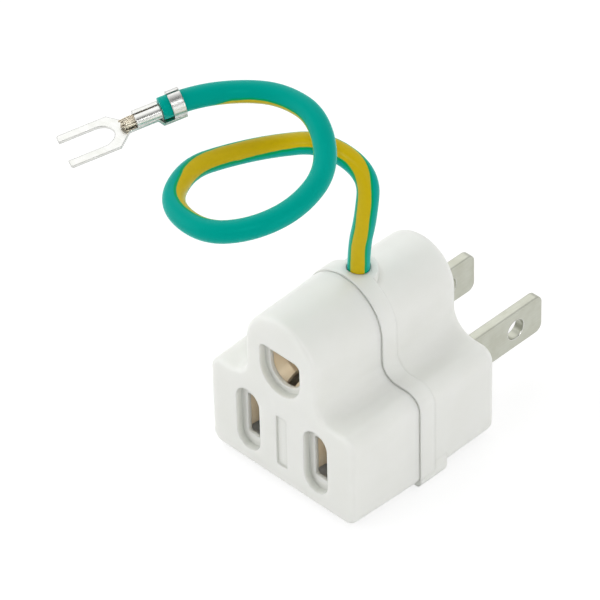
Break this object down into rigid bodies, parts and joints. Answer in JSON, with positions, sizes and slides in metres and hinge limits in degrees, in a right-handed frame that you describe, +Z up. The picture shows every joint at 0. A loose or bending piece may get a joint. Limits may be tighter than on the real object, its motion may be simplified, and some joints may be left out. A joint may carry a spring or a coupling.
{
  "type": "grounding plug adapter",
  "caption": "Moulded adapter for a grounded flat-blade plug: slotted front face, flat blades at the rear and a short ground lead ending in a fork terminal.",
  "frame": {"origin": "middle of the underside of the adapter's bounding box, without the ground lead", "axes": "+X to the right seen from the front face, +Y from the front face towards the blade tips, +Z up"},
  "size_m": [0.0419, 0.0586, 0.0576],
  "materials": {
    "body": "satin white moulding",
    "blade": "satin nickel plate on brass",
    "contact": "plain rolled brass strip",
    "rivet": "plain turned brass",
    "insulation": "glossy green with a yellow stripe",
    "strand": "bare copper strands",
    "terminal": "bright tin plate on copper"
  },
  "bodies": {
    "root": {"front_cover": "body", "rear_body": "body", "left_blade": "blade", "right_blade": "blade", "left_contact": "contact", "right_contact": "contact", "left_rivet": "rivet", "right_rivet": "rivet", "ground_contact": "contact", "inner_strands": "strand", "ground_wire": "insulation", "outer_strands": "strand", "fork_terminal": "terminal"}
  },
  "joints": []
}
